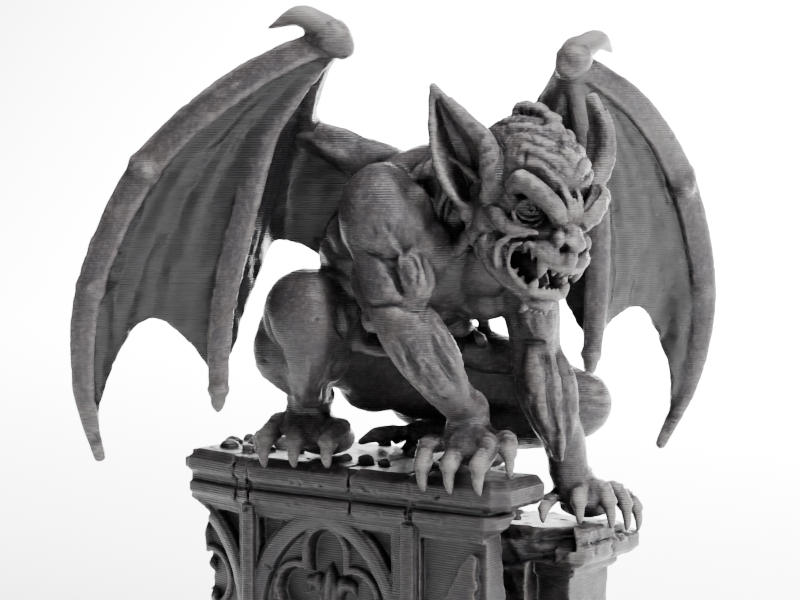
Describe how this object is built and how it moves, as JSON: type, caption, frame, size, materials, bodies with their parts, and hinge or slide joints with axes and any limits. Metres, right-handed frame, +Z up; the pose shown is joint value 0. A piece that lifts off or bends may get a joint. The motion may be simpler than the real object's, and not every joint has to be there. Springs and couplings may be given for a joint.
{
  "type": "printed gargoyle figurine on a ruined gothic wall",
  "caption": "Winged, snarling gargoyle figurine crouching on the corner of a ruined Gothic wall, its claws hooked over the edge; stands on its flat underside.",
  "frame": {"origin": "on the flat underside of the wall, near its middle", "axes": "+X along the wall's long front face towards the corner pier, -Y the way that face looks, +Z up"},
  "size_m": [0.077, 0.0886, 0.1106],
  "materials": {
    "gargoyle_grey": "satin grey printed plastic with fine horizontal layer lines, paler on raised edges",
    "wall_grey": "satin grey printed plastic with fine horizontal layer lines, paler on broken edges"
  },
  "bodies": {
    "root": {"gargoyle": "gargoyle_grey", "ruined_wall": "wall_grey"}
  },
  "joints": []
}
